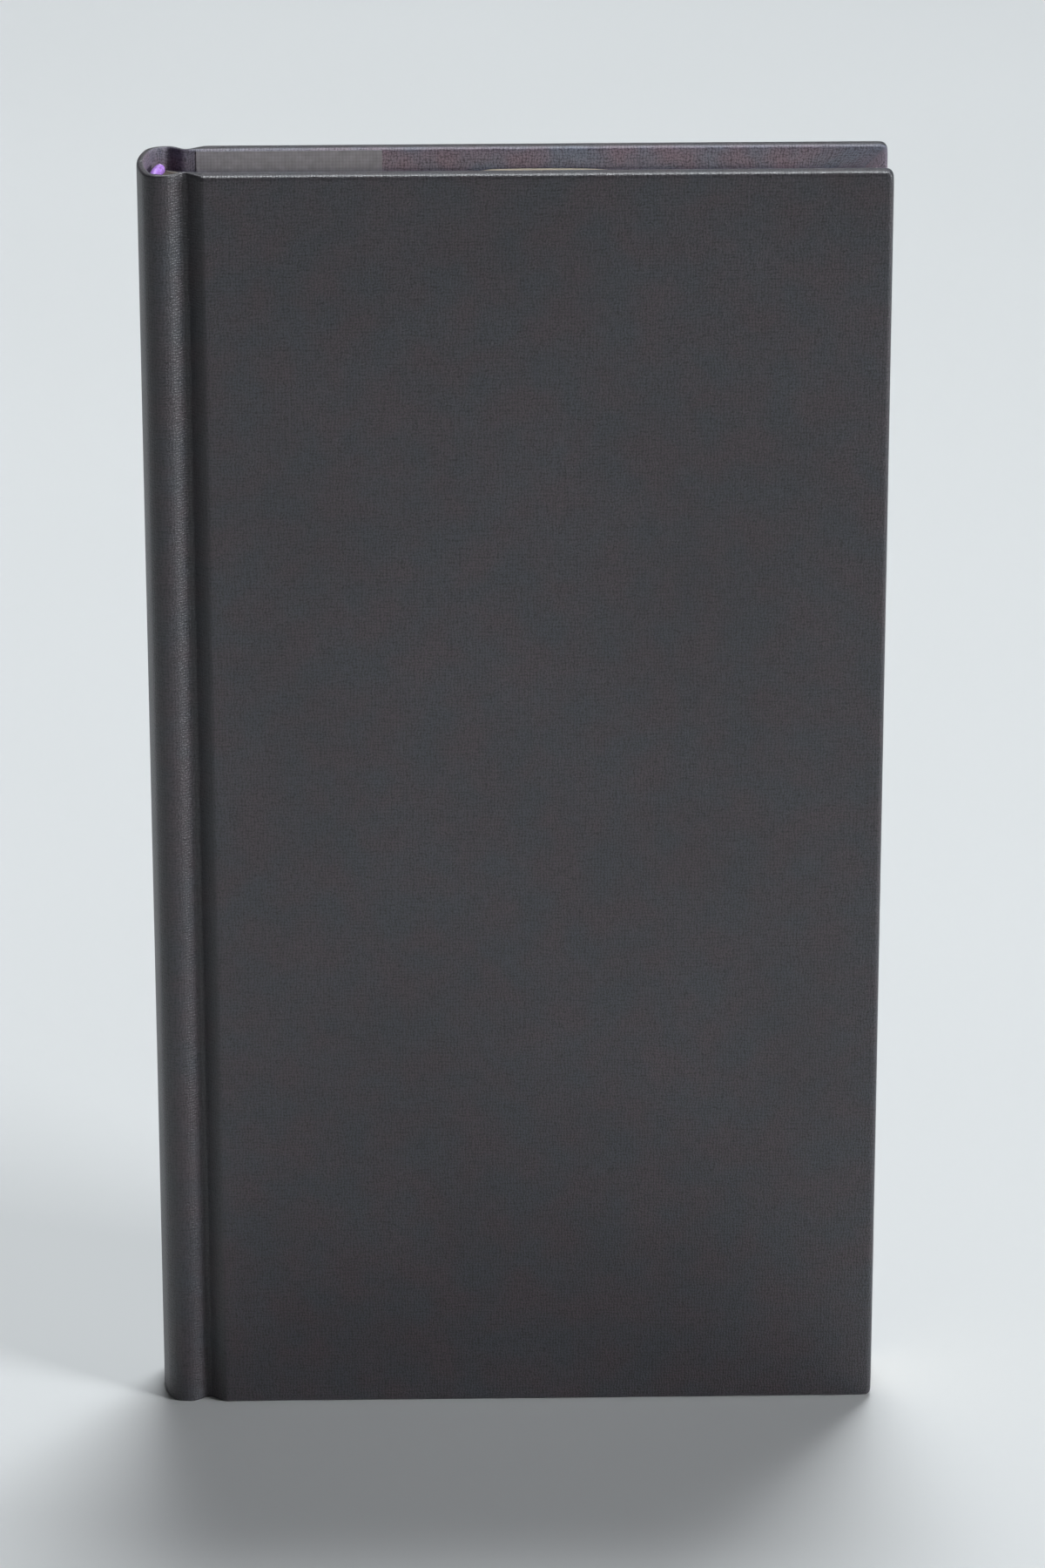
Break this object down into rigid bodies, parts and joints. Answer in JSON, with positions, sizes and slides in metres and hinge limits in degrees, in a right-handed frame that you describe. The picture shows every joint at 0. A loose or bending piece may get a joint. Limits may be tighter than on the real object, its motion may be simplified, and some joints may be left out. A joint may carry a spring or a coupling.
{
  "type": "hardback book",
  "caption": "Plain cloth-covered hardback book standing on its tail, with a rounded spine, head and tail bands, and two covers that open on their joints.",
  "frame": {"origin": "middle of the closed book's foot, on the surface it stands on", "axes": "+Z from tail to head, +X from spine to fore-edge, -Y towards the front cover"},
  "size_m": [0.111, 0.0164, 0.2],
  "materials": {
    "book_cloth": "matte",
    "joint_cloth": "matte",
    "board_grey": "matte",
    "page_paper": "matte",
    "end_paper": "matte",
    "lining_paper": "matte",
    "gauze": "matte",
    "band_thread": "satin"
  },
  "bodies": {
    "page_block": {"text_block": "page_paper", "front_flyleaf": "end_paper", "back_flyleaf": "end_paper", "spine_gauze": "gauze", "spine_lining": "lining_paper", "head_band": "band_thread", "tail_band": "band_thread", "spine_inlay": "board_grey", "spine_cloth": "book_cloth"},
    "front_cover": {"front_board": "board_grey", "front_cover_cloth": "book_cloth", "front_joint_strip": "joint_cloth", "front_pastedown": "end_paper"},
    "back_cover": {"back_board": "board_grey", "back_cover_cloth": "book_cloth", "back_joint_strip": "joint_cloth", "back_pastedown": "end_paper"}
  },
  "joints": [
    {"name": "front_cover_hinge", "type": "hinge", "parent": "page_block", "child": "front_cover", "pos_m": [-0.04834, -0.00813, 0.1], "axis": [0, 0, -1], "range_deg": [0, 180]},
    {"name": "back_cover_hinge", "type": "hinge", "parent": "page_block", "child": "back_cover", "pos_m": [-0.04834, 0.00813, 0.1], "axis": [0, 0, 1], "range_deg": [0, 180]}
  ]
}
